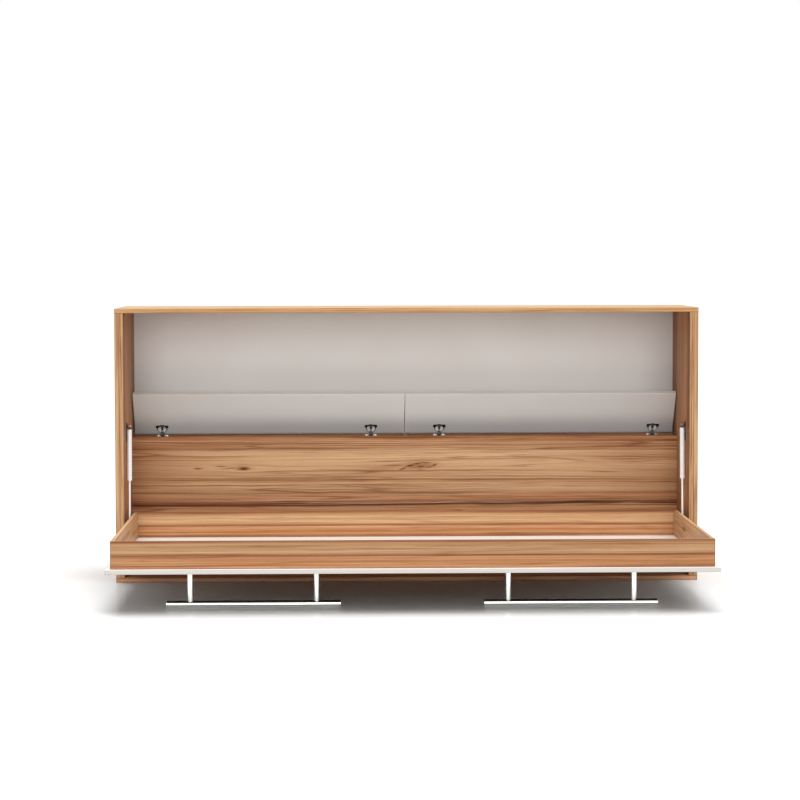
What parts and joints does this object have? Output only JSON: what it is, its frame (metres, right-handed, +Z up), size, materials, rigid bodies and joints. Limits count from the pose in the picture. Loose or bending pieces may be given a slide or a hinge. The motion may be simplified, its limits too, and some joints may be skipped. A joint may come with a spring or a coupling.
{
  "type": "horizontal wall bed",
  "caption": "Side-tilting wall bed in a low wood-grain cabinet, lowered on its legs, with storage under open lids.",
  "frame": {"origin": "on the floor at the middle of the cabinet's footprint", "axes": "+X along the bed to the right as seen from the room, +Y towards the wall, +Z up"},
  "size_m": [2.142, 1.273, 1.006],
  "materials": {
    "carcass_board": "wood-grain melamine on particle board, satin",
    "white_board": "white melamine on particle board, satin",
    "grey_board": "light grey melamine on board, satin",
    "dowel": "bare beech",
    "chrome": "polished chrome plate",
    "black_steel": "black powder coat",
    "nickel": "bright nickel plate",
    "strut_shell": "silver-white enamel, gloss",
    "nylon": "natural white nylon"
  },
  "bodies": {
    "cabinet": {"top_panel": "carcass_board", "bottom_panel": "carcass_board", "side_outer_left": "carcass_board", "side_outer_right": "carcass_board", "side_inner_left": "carcass_board", "side_inner_right": "carcass_board", "back_panel": "grey_board", "storage_front": "carcass_board", "storage_divider": "carcass_board", "hinge_rail": "carcass_board", "carcass_dowels": "dowel", "lid_bumpers": "nylon", "cabinet_pivot_left": "black_steel", "cabinet_pivot_right": "black_steel", "pivot_bush_left": "nylon", "pivot_bush_right": "nylon", "strut_bracket_left": "black_steel", "strut_bracket_right": "black_steel", "strut_clip_left": "nickel", "strut_clip_right": "nickel", "hinge_plates_left": "nickel", "hinge_plates_right": "nickel", "hinge_arms_left": "black_steel", "hinge_arms_right": "black_steel"},
    "bed": {"door_panel": "white_board", "front_rail": "carcass_board", "rear_rail": "carcass_board", "end_rail_left": "carcass_board", "end_rail_right": "carcass_board", "tray_dowels": "dowel", "bed_pivot_left": "black_steel", "bed_pivot_right": "black_steel", "pivot_pin_left": "nickel", "pivot_pin_right": "nickel", "strut_stud_left": "black_steel", "strut_stud_right": "black_steel", "leg_bar_left": "chrome", "leg_bar_right": "chrome", "leg_post_left_outer": "chrome", "leg_post_left_inner": "chrome", "leg_post_right_inner": "chrome", "leg_post_right_outer": "chrome", "leg_caps": "chrome", "leg_bolts": "nickel"},
    "strut_tube_left": {"strut_cylinder_left": "strut_shell", "strut_guide_left": "strut_shell"},
    "strut_stem_left": {"strut_rod_left": "chrome", "strut_piston_left": "nylon"},
    "storage_lid_left": {"lid_left": "grey_board", "hinge_cups_left": "black_steel", "hinge_links_left": "nickel"},
    "strut_tube_right": {"strut_cylinder_right": "strut_shell", "strut_guide_right": "strut_shell"},
    "strut_stem_right": {"strut_rod_right": "chrome", "strut_piston_right": "nylon"},
    "storage_lid_right": {"lid_right": "grey_board", "hinge_cups_right": "black_steel", "hinge_links_right": "nickel"}
  },
  "joints": [
    {"name": "bed_fold", "type": "hinge", "parent": "cabinet", "child": "bed", "pos_m": [0, -0.21, 0.16], "axis": [-1, 0, 0], "range_deg": [0, 90]},
    {"name": "strut_left_tilt", "type": "hinge", "parent": "cabinet", "child": "strut_tube_left", "pos_m": [-1.027, -0.131, 0.568], "axis": [-1, 0, 0], "range_deg": [-0.5, 3]},
    {"name": "strut_left_slide", "type": "slide", "parent": "strut_tube_left", "child": "strut_stem_left", "axis": [0, -0.066, -0.9978], "range_m": [-0.002, 0.088]},
    {"name": "strut_right_tilt", "type": "hinge", "parent": "cabinet", "child": "strut_tube_right", "pos_m": [1.027, -0.131, 0.568], "axis": [-1, 0, 0], "range_deg": [-0.5, 3]},
    {"name": "strut_right_slide", "type": "slide", "parent": "strut_tube_right", "child": "strut_stem_right", "axis": [0, -0.066, -0.9978], "range_m": [-0.002, 0.088]},
    {"name": "lid_left_hinge", "type": "hinge", "parent": "cabinet", "child": "storage_lid_left", "pos_m": [0, 0.211, 0.527], "axis": [-1, 0, 0], "range_deg": [-55, 35]},
    {"name": "lid_right_hinge", "type": "hinge", "parent": "cabinet", "child": "storage_lid_right", "pos_m": [0, 0.211, 0.527], "axis": [-1, 0, 0], "range_deg": [-55, 35]}
  ],
  "couplings": [
    {"joint": "strut_left_tilt", "follows": "bed_fold", "ratio": 0.025226},
    {"joint": "strut_left_slide", "follows": "bed_fold", "m_per_rad": 0.0546},
    {"joint": "strut_right_tilt", "follows": "bed_fold", "ratio": 0.025226},
    {"joint": "strut_right_slide", "follows": "bed_fold", "m_per_rad": 0.0546}
  ]
}
